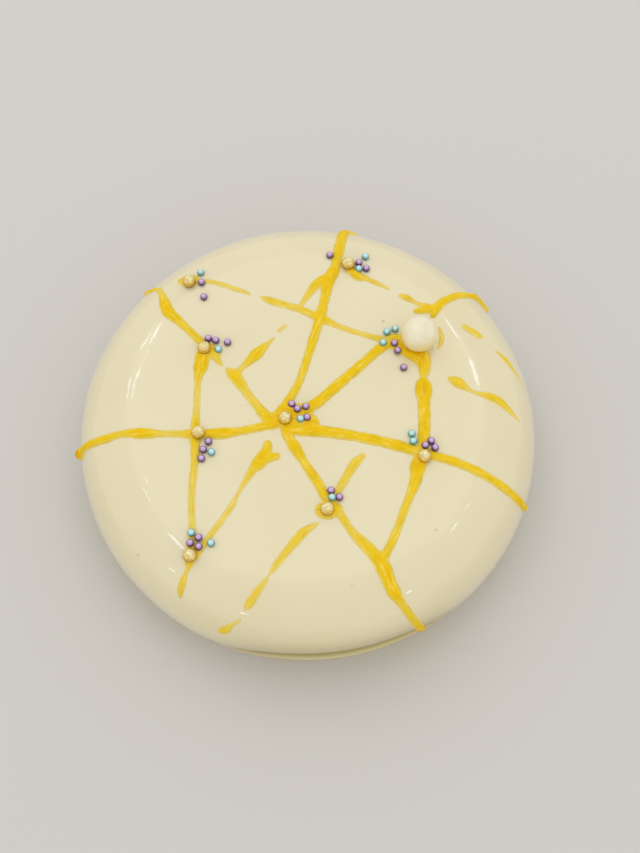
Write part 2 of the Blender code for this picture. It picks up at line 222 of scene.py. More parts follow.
outline = glaze_outline()
outline_steps = np.diff(outline, axis=0)
outline_lengths = np.hypot(outline_steps[:, 0], outline_steps[:, 1])
outline_run = np.concatenate([[0.0], np.cumsum(outline_lengths)])
outline_middles = 0.5 * (outline_run[1:] + outline_run[:-1])


def wave(x, y, z, across, along, up, phase):
    return np.sin(across * x + along * y + up * z + phase)


def stand_out(points):
    """How far the glaze stands out in waves from its turned form, and how far it has slumped inward."""
    x, y, z = points[..., 0] / MM, points[..., 1] / MM, points[..., 2] / MM
    long_waves = [wave(x, y, z, *numbers) for numbers in LONG_WAVES]
    short_waves = [wave(x, y, z, *numbers) for numbers in SHORT_WAVES]
    rim = np.clip((np.hypot(x, y) - CALM_RADIUS) / CALM_FADE, 0.0, 1.0) * np.clip(z / FOOT_FADE, 0.0, 1.0)
    swell = LONG_WAVE_HEIGHT * sum(long_waves) + SHORT_WAVE_HEIGHT * short_waves[0] * short_waves[1]
    off_middle = (np.degrees(np.arctan2(x, -y)) - SLUMP_MIDDLE) / SLUMP_SPREAD
    height = points[..., 2]
    down = np.clip((SLUMP_TOP - height) / (SLUMP_TOP - SLUMP_FULL), 0.0, 1.0) ** SLUMP_EASE
    over_lip = np.clip((height - LIP_HEIGHT) / (CREASE_HEIGHT - LIP_HEIGHT), 0.0, 1.0)
    share = np.minimum(down, LIP_SHARE + (1.0 - LIP_SHARE) * over_lip)
    return swell * rim * MM, SLUMP * share * np.exp(-(off_middle**SLUMP_SQUARENESS))


def on_glaze(across, along):
    """Points of the glaze and its outward normals, for places on the glaze laid flat, in metres."""
    distance = np.hypot(across, along)
    safe = np.maximum(distance, TINY)
    radius = np.interp(distance, outline_run, outline[:, 0])
    height = np.interp(distance, outline_run, outline[:, 1])
    tilt_out = np.interp(distance, outline_middles, -outline_steps[:, 1] / outline_lengths)
    tilt_up = np.interp(distance, outline_middles, outline_steps[:, 0] / outline_lengths)
    flat_x, flat_y = across / safe, along / safe
    point = np.stack([flat_x * radius, flat_y * radius, height], -1)
    normal = np.stack([flat_x * tilt_out, flat_y * tilt_out, tilt_up], -1)
    waves, slump = stand_out(point)
    inward = np.stack([flat_x * slump, flat_y * slump, 0.0 * slump], -1)
    return point + normal * waves[..., None] - inward, normal


bpy.ops.object.select_all(action="DESELECT")
bpy.ops.mesh.primitive_plane_add(size=10 * MM)
glaze_skin = bpy.context.object
glaze_skin.name = "glaze_skin"
bpy.ops.object.mode_set(mode="EDIT")
bpy.ops.mesh.merge(type="CENTER")
bpy.ops.transform.translate(value=(0.0, 0.0, CAKE_HEIGHT))
for step in outline_steps:
    bpy.ops.mesh.extrude_region_move(TRANSFORM_OT_translate={"value": (step[0], 0.0, step[1])})
bpy.ops.mesh.extrude_region_move(TRANSFORM_OT_translate={"value": (-BASE_RADIUS, 0.0, 0.0)})
bpy.ops.mesh.select_all(action="SELECT")
bpy.ops.mesh.spin(steps=TURN_STEPS, angle=2 * math.pi, center=(0, 0, 0), axis=(0, 0, 1))
bpy.ops.mesh.select_all(action="SELECT")
bpy.ops.mesh.remove_doubles(threshold=WELD)
bpy.ops.mesh.normals_make_consistent(inside=False)
bpy.ops.object.mode_set(mode="OBJECT")
bpy.ops.object.shade_smooth()

skin_points = np.array([vertex.co for vertex in glaze_skin.data.vertices])
skin_radius = np.hypot(skin_points[:, 0], skin_points[:, 1])
skin_ring = np.argmin(
    np.hypot(skin_radius[:, None] - outline[:, 0], skin_points[:, 2:] - outline[:, 1]), axis=1
)
skin_run = outline_run[skin_ring] / np.maximum(skin_radius, TINY)
settled, _ = on_glaze(skin_points[:, 0] * skin_run, skin_points[:, 1] * skin_run)
_, skin_slump = stand_out(skin_points)
slump_attribute = glaze_skin.data.attributes.new("slumped", "FLOAT", "POINT")
slump_attribute.data.foreach_set("value", (skin_slump / SLUMP).astype(np.float32))
for vertex, radius, place in zip(glaze_skin.data.vertices, skin_radius, settled):
    if radius > WELD:
        vertex.co = place


def new_material(name, roughness, coat=0.0, coat_roughness=0.03):
    """A Principled material, its shader, a function that adds a node with the given input values, and one
    that links two sockets."""
    material = bpy.data.materials.new(name)
    material.use_nodes = True
    shader = material.node_tree.nodes["Principled BSDF"]
    shader.inputs["Roughness"].default_value = roughness
    shader.inputs["Coat Weight"].default_value = coat
    shader.inputs["Coat Roughness"].default_value = coat_roughness

    def add(kind, **values):
        node = material.node_tree.nodes.new(kind)
        for socket, value in values.items():
            node.inputs[socket.replace("_", " ")].default_value = value
        return node

    return material, shader, add, material.node_tree.links.new


def colour_ramp(add, *stops):
    """A colour ramp through stops of a position and a colour. A colour can be a single grey."""
    ramp = add("ShaderNodeValToRGB")
    elements = ramp.color_ramp.elements
    while len(elements) < len(stops):
        elements.new(0.5)
    for element, (position, colour) in zip(elements, stops):
        element.position = position
        element.color = (*(colour if isinstance(colour, tuple) else [colour] * 3), 1.0)
    return ramp


def read_attribute(add, name):
    node = add("ShaderNodeAttribute")
    node.attribute_name = name
    return node.outputs["Fac"]


def mix_colours(add, link, below, above, amount):
    """The colour below, with a share of a set colour over it where the amount, a socket, says."""
    mix = add("ShaderNodeMix")
    mix.data_type = "RGBA"
    mix.inputs["B"].default_value = (*above, 1.0)
    link(below, mix.inputs["A"])
    link(amount, mix.inputs["Factor"])
    return mix.outputs["Result"]


def shade_colour(add, link, below, shades, share=1.0):
    """The colour below, multiplied by the shades of a ramp."""
    mix = add("ShaderNodeMix", Factor=share)
    mix.data_type = "RGBA"
    mix.blend_type = "MULTIPLY"
    link(below, mix.inputs["A"])
    link(shades.outputs["Color"], mix.inputs["B"])
    return mix.outputs["Result"]


def both_masks(add, link, one, other):
    """What two masks, each a ramp, have in common."""
    product = add("ShaderNodeMath")
    product.operation = "MULTIPLY"
    link(one.outputs["Color"], product.inputs[0])
    link(other.outputs["Color"], product.inputs[1])
    return product.outputs[0]


WHITE = (1.0, 1.0, 1.0)
SPECK_COLOUR = (0.56, 0.46, 0.25)
CREASE_PAINTED_SHADE_TOP = 30 * MM

glaze, glaze_shader, add, link = new_material("cream glaze", roughness=0.30, coat=1.0, coat_roughness=0.06)
where = add("ShaderNodeTexCoord").outputs["Object"]
clouds = add("ShaderNodeTexNoise", Scale=22.0, Detail=3.0)
cloud_colours = colour_ramp(add, (0.35, (0.800, 0.710, 0.440)), (0.65, (0.815, 0.732, 0.472)))
specks = add("ShaderNodeTexVoronoi", Scale=95.0)
speck_mask = colour_ramp(add, (0.030, 1.0), (0.085, 0.0))
speck_choice = add("ShaderNodeTexNoise", Scale=31.0)
speck_keep = colour_ramp(add, (0.56, 0.0), (0.64, 1.0))
# Painted shade: the glaze is darkened in the crease above its pooled foot, and low down on its slumped
# front. Where it has slumped it is also less glossy
height_of = add("ShaderNodeSeparateXYZ")
up_the_side = add("ShaderNodeMapRange", From_Min=0.0, From_Max=CREASE_PAINTED_SHADE_TOP)
crease_painted_shade = colour_ramp(
    add,
    (0.10, WHITE),
    (0.15, (0.55, 0.51, 0.38)),
    (0.24, (0.60, 0.56, 0.42)),
    (0.33, (0.86, 0.84, 0.76)),
    (0.45, WHITE),
)
slumped = read_attribute(add, "slumped")
# Painted shade on the slumped front of the glaze, darkest low down where it has slumped most
slump_painted_shade = colour_ramp(
    add,
    (0.00, WHITE),
    (0.05, (0.95, 0.94, 0.88)),
    (0.17, (0.84, 0.80, 0.70)),
    (0.35, (0.80, 0.78, 0.62)),
    (0.70, (0.79, 0.76, 0.50)),
    (1.00, (0.60, 0.56, 0.38)),
)
slump_gloss = add("ShaderNodeMapRange", From_Min=0.1, From_Max=0.6, To_Min=1.0, To_Max=0.15)
ripples = add("ShaderNodeTexNoise", Scale=75.0, Detail=2.0)
ripple_bump = add("ShaderNodeBump", Strength=0.12, Distance=0.6 * MM)
for pattern in (clouds, specks, speck_choice, ripples):
    link(where, pattern.inputs["Vector"])
link(clouds.outputs["Fac"], cloud_colours.inputs["Fac"])
link(specks.outputs["Distance"], speck_mask.inputs["Fac"])
link(speck_choice.outputs["Fac"], speck_keep.inputs["Fac"])
link(where, height_of.inputs[0])
link(height_of.outputs["Z"], up_the_side.inputs["Value"])
link(up_the_side.outputs["Result"], crease_painted_shade.inputs["Fac"])
link(slumped, slump_painted_shade.inputs["Fac"])
link(slumped, slump_gloss.inputs["Value"])
link(slump_gloss.outputs["Result"], glaze_shader.inputs["Coat Weight"])
speck_amount = both_masks(add, link, speck_mask, speck_keep)
colour = mix_colours(add, link, cloud_colours.outputs["Color"], SPECK_COLOUR, speck_amount)
colour = shade_colour(add, link, colour, slump_painted_shade)
colour = shade_colour(add, link, colour, crease_painted_shade)
link(colour, glaze_shader.inputs["Base Color"])
link(ripples.outputs["Fac"], ripple_bump.inputs["Height"])
link(ripple_bump.outputs["Normal"], glaze_shader.inputs["Normal"])
glaze_skin.data.materials.append(glaze)
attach(glaze_skin, "root")
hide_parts("cake")

# The drizzle is a clear yellow fruit gel, thrown on from a nozzle in quick straight passes. It lies as
# rounded ropes where it is thick and deep in colour, and as a pale film where the nozzle ran ahead of it.
# Places are on the glaze laid flat, as distances along its surface from the middle of the top, with the
# half-width and the height of the gel there, all in millimetres.
DRIZZLE = {
    "west": (
        (-107, -15.5, 2.1, 3.2), (-102, -14.5, 1.6, 1.9), (-86.5, -14, 1.9, 1.4),
        (-77.5, -12.5, 1.7, 1.1), (-68, -12.5, 2.4, 1.7), (-60, -12.5, 1.6, 0.6),
        (-46, -12.5, 2.1, 1.4), (-35, -12, 2.4, 1.7), (-26, -10.5, 1.8, 1.2), (-14, -7.5, 2.3, 1.8),
    ),
    "west_upright": (
        (-45.5, 25, 2.7, 1.8), (-46, 20, 3.2, 2.1), (-47, 13, 1.7, 0.9), (-47, 0, 1.6, 0.5),
        (-47, -13, 2.1, 1.5), (-46.5, -22, 1.8, 1.0), (-47, -40, 1.5, 0.6), (-46, -56, 1.7, 0.6),
        (-46.5, -66, 2.2, 1.4), (-47, -69.5, 1.1, 0.8), (-48.5, -72.5, 1.1, 0.7),
        (-50, -76, 1.6, 0.9), (-51.5, -79.5, 1.5, 0.7), (-52.5, -83, 0.7, 0.3),
    ),
    "northwest": (
        (-77, 64, 1.3, 1.6), (-71, 62, 1.5, 1.0), (-66.5, 57.5, 1.6, 0.5), (-62, 46, 2.6, 1.9),
        (-57, 41, 2.0, 1.2), (-47, 31, 1.8, 1.0), (-39.5, 22.5, 1.5, 1.0), (-37, 19.5, 0.8, 0.3),
    ),
    "northwest_pool": ((-44, 28, 2.4, 1.6), (-42, 27, 2.3, 1.5), (-39, 24.5, 1.4, 0.8)),
    "northwest_inner": (
        (-34.5, 17.5, 1.3, 0.4), (-31, 14, 2.6, 1.4), (-25.5, 6, 1.9, 0.7), (-22, 1.5, 2.1, 0.8),
        (-17.5, -4, 2.4, 1.4), (-13, -6, 2.4, 1.7),
    ),
    "north": (
        (22, 98.5, 1.6, 0.9), (16.5, 98, 2.2, 1.8), (14, 85.5, 2.4, 1.3), (12, 74, 2.4, 1.3),
        (11, 68, 2.4, 1.4), (8, 61.5, 2.9, 2.0), (7, 54.5, 2.1, 1.3), (4.5, 43, 2.2, 1.5),
        (-1, 22, 1.8, 1.2), (-5, 9.5, 1.8, 1.1), (-12, -3, 2.3, 1.8),
    ),
    "north_branch": (
        (8, 62.5, 2.6, 1.9), (3, 60, 2.3, 1.3), (-1, 54, 1.6, 0.7), (-5, 47.5, 1.0, 0.4),
    ),
    "north_dab": ((-10.5, 39, 1.0, 0.3), (-13, 36.5, 1.1, 0.4)),
    "northwest_link": (
        (-15, 33, 0.8, 0.3), (-19, 29, 1.6, 0.9), (-23, 24.5, 2.5, 1.6), (-28, 19, 1.4, 0.6),
        (-31, 15.5, 1.8, 1.0),
    ),
    "far_west": (
        (-57.5, 63, 1.8, 0.8), (-54, 62, 3.6, 1.4), (-49.5, 61, 1.8, 0.8), (-43, 60.5, 1.3, 0.5),
        (-31, 56.5, 1.3, 0.5), (-26, 54.5, 0.7, 0.2),
    ),
    "far_link": (
        (-21, 53, 1.0, 0.5), (-16, 51, 1.8, 0.9), (-5, 47.5, 1.7, 0.8), (5, 43, 2.0, 1.3),
        (13, 39, 1.5, 0.6), (21, 36, 1.4, 0.6), (33, 32.5, 1.6, 0.8),
    ),
    "far_tail": (
        (17.5, 67.5, 2.0, 1.4), (21.5, 64, 2.1, 1.5), (25, 63, 1.5, 0.8), (35, 58, 0.9, 0.3),
    ),
    "ball_approach": (
        (40, 54.5, 1.3, 0.5), (43, 53.5, 1.6, 0.8), (47, 51, 1.1, 0.5), (51.5, 49, 1.8, 1.2),
    ),
    "ball_back": ((46.5, 47, 1.3, 1.2), (51.5, 47.5, 1.7, 1.4), (56, 49.5, 2.0, 1.5)),
    "ball_side": ((56.5, 39, 0.8, 0.5), (57.5, 34, 1.2, 0.6), (56, 29, 0.8, 0.4)),
    "ball_west": ((35, 34, 1.5, 1.2), (39.5, 33, 2.2, 1.8), (41.5, 28, 2.4, 1.9)),
    "northeast": (
        (54, 45, 1.5, 1.3), (57.5, 51, 2.0, 1.5), (64.5, 56.5, 1.8, 1.4), (72, 60.5, 1.9, 1.5),
        (80, 65, 1.9, 2.2), (87.5, 64.5, 1.8, 2.2),
    ),
    "ball_throw": (
        (1.5, 0.5, 1.6, 1.0), (5, 3.5, 2.3, 1.6), (21.5, 19.5, 2.2, 1.5), (33, 30, 2.2, 1.5),
        (40, 28.5, 2.6, 1.9), (48, 23.5, 2.8, 2.0),
    ),
    "east_upright": (
        (49, 25, 3.0, 2.0), (49.5, 19, 2.7, 1.5), (49, 14.5, 1.6, 0.7), (49, 9.5, 3.5, 2.2),
        (49, 3, 2.6, 1.7), (49, -6, 2.5, 1.6), (48, -20, 2.4, 1.8), (46, -25.5, 3.1, 2.0),
        (44.5, -33, 2.3, 1.4), (41, -42, 1.8, 1.0), (35, -58, 1.8, 1.0), (30, -67.5, 2.2, 1.4),
    ),
    "east": (
        (-9, -10, 2.2, 1.7), (-3, -10.3, 2.5, 1.9), (5, -10.5, 2.6, 1.7), (21, -12.8, 2.3, 1.4),
        (37, -16.5, 2.4, 1.6), (48, -20, 2.2, 1.5), (62, -24, 2.0, 1.3), (81.5, -33, 1.9, 1.3),
        (91.5, -37, 1.9, 1.4), (102, -39.5, 1.6, 1.9),
    ),
    "southeast": (
        (-9, -12, 1.9, 1.3), (-5.5, -17.5, 2.5, 1.5), (-2.8, -22, 2.0, 1.3), (0.3, -27, 1.9, 1.3),
        (4.8, -34, 2.1, 1.3), (8, -40, 2.0, 1.3), (14, -47.5, 1.8, 0.9), (19, -55, 1.9, 0.9),
        (29.5, -66.5, 2.9, 1.6), (34.5, -77, 2.7, 1.8), (40, -84.5, 1.8, 1.0),
        (48, -93.5, 1.8, 1.2), (55.5, -101.5, 1.8, 1.7), (61, -107.5, 1.6, 2.0),
        (65.5, -112.5, 1.6, 2.6), (70, -115.5, 1.7, 1.8),
    ),
    "southwest": (
        (-16.5, -16.5, 1.7, 1.0), (-17, -20, 2.3, 1.6), (-19.5, -24.5, 2.8, 1.7),
        (-22.5, -28.5, 1.9, 1.1), (-27.5, -37.5, 1.0, 0.4), (-31, -45, 1.4, 0.5),
        (-38, -56, 1.4, 0.6), (-44, -65, 1.6, 0.9),
    ),
    "southwest_wing": ((-18, -23.5, 2.4, 1.6), (-15, -22.5, 2.1, 1.3), (-12.5, -22, 1.5, 0.8)),
    "south": (
        (23, -21.5, 1.5, 0.5), (19, -26, 2.1, 0.9), (14, -35, 1.7, 0.7), (10, -42, 2.0, 1.0),
        (8.5, -45.5, 3.7, 1.5),
    ),
    "south_pool": ((7, -45.5, 3.4, 1.5), (11.5, -45, 3.1, 1.4)),
    "south_end": (
        (5, -51, 0.7, 0.2), (-0.5, -54.5, 2.0, 0.9), (-4, -58.5, 1.9, 0.9), (-9, -65, 1.7, 0.8),
        (-12.5, -70, 1.3, 0.6), (-14.5, -73, 0.7, 0.3), (-16, -75.5, 1.2, 0.5),
        (-19, -79.5, 1.6, 0.7), (-22, -84, 1.9, 0.8), (-24, -86.5, 1.0, 0.3),
    ),
    "south_drop": (
        (-26.5, -91.5, 0.8, 0.3), (-31, -94.5, 1.2, 0.6), (-34.5, -97.5, 2.0, 1.0),
        (-37, -99, 1.2, 0.5),
    ),
    "east_dash": ((67.5, 40, 1.4, 0.6), (71, 38, 1.8, 0.9), (74.5, 36, 1.5, 0.6)),
    "east_dash_low": (
        (82, 30, 0.9, 0.3), (86.5, 27, 1.5, 0.8), (91.5, 22.5, 1.3, 0.6), (97.5, 17.5, 0.8, 0.3),
    ),
    "east_drops": (
        (60.5, 14.5, 1.4, 0.6), (64, 12.5, 2.3, 1.3), (70, 8.5, 1.0, 0.4), (80, 5.5, 2.0, 1.3),
        (87, 0.5, 1.3, 0.6), (91.5, -2.5, 0.7, 0.2),
    ),
    "puddle": ((-12.5, -5, 3.4, 1.9), (-6, -5, 5.0, 2.2), (0.5, -7, 4.0, 1.9)),
    "puddle_far": ((-8.5, 0, 3.0, 1.8), (-3, -1.5, 3.2, 1.9), (3, 2, 2.2, 1.5)),
}
GEL_CELL = 0.45 * MM
GEL_REACH = 140 * MM
GEL_STEP = 0.35 * MM
GEL_SUNK = 0.8 * MM
GEL_UNDER = 0.9 * MM
GEL_SKIRT = 0.2 * MM
GEL_SPREAD = 1.10
GEL_MARGIN = 1.3
GEL_SMOOTHINGS = 2
# Small lumps along a strand: how quickly they follow each other, and their share of its width and height
LUMP_RATES = (0.9, 0.37)
LUMP_WIDTH = 0.07
LUMP_HEIGHT = 0.12
# How far apart the strands' counts of their run start, so that no two have the same threads in them
RUN_APART = 40.0


def catmull_rom(before, start, end, after, t):
    linear = (end - before) * t
    square = (2 * before - 5 * start + 4 * end - after) * t**2
    cube = (3 * start - before - 3 * end + after) * t**3
    return 0.5 * (2 * start + linear + square + cube)


def smooth_route(stops):
    """A smooth curve through the stops of a strand, with a point every GEL_STEP or so, in metres."""
    stops = np.array(stops) * MM
    ends = [stops[0], *stops, stops[-1]]
    route = []
    for before, start, end, after in zip(ends, ends[1:], ends[2:], ends[3:]):
        steps = max(1, round(math.dist(start[:2], end[:2]) / GEL_STEP))
        route.extend(catmull_rom(before, start, end, after, step / steps) for step in range(steps))
    return np.array([*route, stops[-1]])


def gel_levels(place):
    """Height of the gel over the glaze in each cell, and how far across and along a strand the cell is."""
    level = np.full(place.shape[:2], -GEL_SUNK)
    side = np.zeros(place.shape[:2])
    run = np.zeros(place.shape[:2])
    for turn, stops in enumerate(DRIZZLE.values()):
        route = smooth_route(stops)
        headings = np.gradient(route[:, :2], axis=0)
        headings /= np.linalg.norm(headings, axis=1)[:, None]
        for step, (across, along, half, height) in enumerate(route):
            travel = step * GEL_STEP / MM
            lumps = math.sin(LUMP_RATES[0] * travel + turn) * math.sin(LUMP_RATES[1] * travel)
            half *= GEL_SPREAD + LUMP_WIDTH * lumps
            height *= 1.0 + LUMP_HEIGHT * lumps
            tube = (half * half + height * height) / (2 * height)
            reach = GEL_MARGIN * max(half, height) + 2 * GEL_CELL
            first = [max(0, int((value - reach + GEL_REACH) / GEL_CELL)) for value in (across, along)]
            last = [int((value + reach + GEL_REACH) / GEL_CELL) + 2 for value in (across, along)]
            window = (slice(first[0], last[0]), slice(first[1], last[1]))
            centre, _ = on_glaze(np.array(across), np.array(along))
            gap = np.linalg.norm(place[window] - centre, axis=-1)
            cap = np.sqrt(np.maximum(tube * tube - gap * gap, 0.0)) - (tube - height)
            higher = (cap > level[window]) & (gap < tube)
            cells = np.mgrid[window] * GEL_CELL - GEL_REACH - np.array([across, along])[:, None, None]
            beside = (cells[0] * headings[step][1] - cells[1] * headings[step][0]) / half
            level[window] = np.where(higher, cap, level[window])
            side[window] = np.where(higher, beside, side[window])
            run[window] = np.where(higher, RUN_APART * turn + travel, run[window])
    for _ in range(GEL_SMOOTHINGS):
        for axis in (0, 1):
            level = soften(np.roll(level, 1, axis), level, np.roll(level, -1, axis))
    return level, side, run


gel_ticks = np.arange(-GEL_REACH, GEL_REACH, GEL_CELL)
gel_place, gel_normal = on_glaze(*np.meshgrid(gel_ticks, gel_ticks, indexing="ij"))
gel_level, gel_side, gel_run = gel_levels(gel_place)
# Surface tension draws the edges of the gel out into a thin skirt
gel_height = gel_level * np.abs(gel_level) / (np.abs(gel_level) + GEL_SKIRT)


def gel_mesh():
    """The gel as a closed sheet: a top that follows its height, and an underside just inside the glaze."""
    wet = gel_level > 0.0
    kept = wet[:-1, :-1] | wet[1:, :-1] | wet[:-1, 1:] | wet[1:, 1:]
    corner = np.zeros(wet.shape, bool)
    for i, j in ((0, 0), (1, 0), (0, 1), (1, 1)):
        corner[i:i + kept.shape[0], j:j + kept.shape[1]] |= kept
    number = np.full(wet.shape, -1)
    number[corner] = np.arange(corner.sum())
    under = corner.sum()
    top = gel_place[corner] + gel_normal[corner] * gel_height[corner][:, None]
    bottom = gel_place[corner] - gel_normal[corner] * GEL_UNDER
    a, b = number[:-1, :-1][kept], number[1:, :-1][kept]
    c, d = number[1:, 1:][kept], number[:-1, 1:][kept]
    faces = [np.stack([a, b, c, d], 1), np.stack([d, c, b, a], 1) + under]
    ringed = np.pad(kept, 1)
    for start, end, beside in (
        (a, b, ringed[1:-1, :-2]),
        (b, c, ringed[2:, 1:-1]),
        (c, d, ringed[1:-1, 2:]),
        (d, a, ringed[:-2, 1:-1]),
    ):
        edge = ~beside[kept]
        start, end = start[edge], end[edge]
        faces.append(np.stack([end, start, start + under, end + under], 1))
    mesh = bpy.data.meshes.new("gel_drizzle")
    mesh.from_pydata(np.concatenate([top, bottom]).tolist(), [], np.concatenate(faces).tolist())
    depth_and_more = {"depth": np.maximum(gel_level, 0.0) / MM, "side": gel_side, "run": gel_run}
    for name, values in depth_and_more.items():
        attribute = mesh.attributes.new(name, "FLOAT", "POINT")
        attribute.data.foreach_set("value", np.tile(values[corner], 2).astype(np.float32))
    return mesh


gel_drizzle = bpy.data.objects.new("gel_drizzle", gel_mesh())
bpy.context.collection.objects.link(gel_drizzle)
gel_drizzle.data.shade_smooth()

GEL_DEEPEST = 3.0
THREAD_STRETCH = (2.6, 0.16, 1.0)
PAINTED_GLINT_COLOUR = (0.98, 0.80, 0.20)
BUBBLE_HIGHLIGHT_COLOUR = (1.0, 0.88, 0.38)

gel, gel_shader, add, link = new_material("yellow gel", roughness=0.15, coat=0.22)
gel_shader.inputs["Specular IOR Level"].default_value = 0.0
where = add("ShaderNodeTexCoord").outputs["Object"]
depth_share = add("ShaderNodeMapRange", From_Min=0.0, From_Max=GEL_DEEPEST)
gel_colours = colour_ramp(
    add,
    (0.00, (0.82, 0.69, 0.32)),
    (0.07, (0.84, 0.66, 0.19)),
    (0.17, (0.85, 0.64, 0.095)),
    (0.30, (0.87, 0.62, 0.036)),
    (0.42, (0.89, 0.60, 0.010)),
    (0.60, (0.91, 0.57, 0.001)),
    (0.80, (0.74, 0.41, 0.001)),
)
# Darker threads run along each strand, and pale painted glints, painted highlights, run among them
along_strand = add("ShaderNodeCombineXYZ")
stretch = add("ShaderNodeVectorMath")
stretch.operation = "MULTIPLY"
stretch.inputs[1].default_value = THREAD_STRETCH
threads = add("ShaderNodeTexNoise", Scale=1.0, Detail=3.0)
thread_shades = colour_ramp(add, (0.32, (0.86, 0.80, 0.60)), (0.48, WHITE))
painted_glints = colour_ramp(add, (0.56, 0.0), (0.68, 0.50))
# Small bubbles dimple the surface, and in some patches painted highlights show as pale spots on them
bubbles = add("ShaderNodeTexVoronoi", Scale=620.0)
bubble_bump = add("ShaderNodeBump", Strength=0.4, Distance=0.3 * MM)
bubble_highlight_spots = colour_ramp(add, (0.08, 0.60), (0.24, 0.0))
bubble_highlight_patches = add("ShaderNodeTexNoise", Scale=130.0)
bubble_highlight_keep = colour_ramp(add, (0.48, 0.0), (0.58, 1.0))
link(read_attribute(add, "depth"), depth_share.inputs["Value"])
link(depth_share.outputs["Result"], gel_colours.inputs["Fac"])
link(read_attribute(add, "side"), along_strand.inputs["X"])
link(read_attribute(add, "run"), along_strand.inputs["Y"])
link(along_strand.outputs["Vector"], stretch.inputs[0])
link(stretch.outputs["Vector"], threads.inputs["Vector"])
link(threads.outputs["Fac"], thread_shades.inputs["Fac"])
link(threads.outputs["Fac"], painted_glints.inputs["Fac"])
link(where, bubbles.inputs["Vector"])
link(where, bubble_highlight_patches.inputs["Vector"])
link(bubbles.outputs["Distance"], bubble_highlight_spots.inputs["Fac"])
link(bubble_highlight_patches.outputs["Fac"], bubble_highlight_keep.inputs["Fac"])
colour = shade_colour(add, link, gel_colours.outputs["Color"], thread_shades, share=0.8)
colour = mix_colours(add, link, colour, PAINTED_GLINT_COLOUR, painted_glints.outputs["Color"])
colour = mix_colours(add, link, colour, BUBBLE_HIGHLIGHT_COLOUR, both_masks(add, link, bubble_highlight_spots, bubble_highlight_keep))
link(colour, gel_shader.inputs["Base Color"])
link(bubbles.outputs["Distance"], bubble_bump.inputs["Height"])
link(bubble_bump.outputs["Normal"], gel_shader.inputs["Normal"])
gel_drizzle.data.materials.append(gel)
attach(gel_drizzle, "root")
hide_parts("cake")

# The large pearls are sugar balls rolled in gold lustre, which leaves a grainy, half-metallic skin. Each
# sits in the gel at the head of a cluster. A cluster is the place of its gold pearl on the glaze laid
# flat, and the steps from there to its purple and to its turquoise pearls, in millimetres.
CLUSTERS = (
    ((-53, 60), ((5.3, -0.2), (6.6, -7.5)), ((4.5, 5.5),)),
    ((-45, 27), ((1.5, 5.1), (4.8, 4.2), (9.9, 3.3)), ((6.1, -0.2),)),
    ((-9.5, -5.5), ((2.7, 6.5), (5.1, 4.2), (8.6, 5.4), (9.2, 0.4)), ((6.5, -0.4),)),
    ((-45.5, -12.5), ((4.3, -3.6), (2.3, -7.2), (1.8, -11.2)), ((5.8, -8.4),)),
    ((16.8, 69.5), ((-8.1, 5.0), (4.8, 1.2), (8.1, -1.7)), ((7.7, 4.6), (4.8, -2.0))),
    ((48.5, -22), ((3.1, 7.3), (0.4, 4.9), (4.6, 4.3)), ((-5.0, 10.5), (-4.4, 7.1))),
    ((8.5, -45.5), ((1.5, 8.3), (4.9, 5.5)), ((1.9, 5.1),)),
    ((-46.2, -65.2), ((3.0, 7.3), (-0.2, 5.0), (3.3, 3.5)), ((0.0, 9.2), (8.1, 5.0))),
)
GOLD_RADIUS = 2.95 * MM
GOLD_LIFT = 1.8 * MM


def scatter_balls(name, places, radius, lift, segments, rings, floating=0.0):
    """One closed ball for each place in millimetres, joined in one piece, with its height as an attribute.
    Floating is the share of the depth of the gel, if it lies there, that it adds to the lift."""
    bpy.ops.object.select_all(action="DESELECT")
    bpy.ops.mesh.primitive_uv_sphere_add(segments=segments, ring_count=rings, radius=radius)
    first = bpy.context.object
    rise = first.data.attributes.new("rise", "FLOAT", "POINT")
    rise.data.foreach_set("value", [vertex.co.z / radius for vertex in first.data.vertices])
    balls = []
    for across, along in places:
        point, normal = on_glaze(np.array(across * MM), np.array(along * MM))
        cell = tuple(round((value * MM + GEL_REACH) / GEL_CELL) for value in (across, along))
        raised = lift + floating * max(0.0, gel_height[cell])
        bpy.ops.object.duplicate()
        bpy.context.object.location = point + normal * raised
        balls.append(bpy.context.object)
    bpy.data.objects.remove(first)
    for ball in balls:
        ball.select_set(True)
    bpy.ops.object.join()
    piece = bpy.context.object
    piece.name = name
    bpy.ops.object.transform_apply(location=True, rotation=True, scale=True)
    bpy.ops.object.shade_smooth()
    return piece


gold_places = [gold_at for gold_at, _, _ in CLUSTERS]
gold_pearls = scatter_balls("gold_pearls", gold_places, GOLD_RADIUS, GOLD_LIFT, segments=32, rings=20)

gold, gold_shader, add, link = new_material("gold lustre", roughness=0.25, coat=0.6)
gold_shader.inputs["Metallic"].default_value = 0.25
# Gold colour with painted light and shade: each gold pearl is palest on top and deepest round its waist
gold_and_painted_shade = colour_ramp(
    add,
    (0.10, (0.58, 0.33, 0.01)),
    (0.48, (0.90, 0.64, 0.08)),
    (0.90, (1.0, 0.94, 0.54)),
)
grain = add("ShaderNodeTexVoronoi", Scale=800.0)
grain_shades = colour_ramp(add, (0.15, WHITE), (0.60, (0.68, 0.52, 0.24)))
grain_bump = add("ShaderNodeBump", Strength=0.5, Distance=0.4 * MM)
link(read_attribute(add, "rise"), gold_and_painted_shade.inputs["Fac"])
link(add("ShaderNodeTexCoord").outputs["Object"], grain.inputs["Vector"])
link(grain.outputs["Distance"], grain_shades.inputs["Fac"])
colour = shade_colour(add, link, gold_and_painted_shade.outputs["Color"], grain_shades, share=0.7)
link(colour, gold_shader.inputs["Base Color"])
link(grain.outputs["Distance"], grain_bump.inputs["Height"])
link(grain_bump.outputs["Normal"], gold_shader.inputs["Normal"])
gold_pearls.data.materials.append(gold)
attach(gold_pearls, "root")
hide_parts("cake")

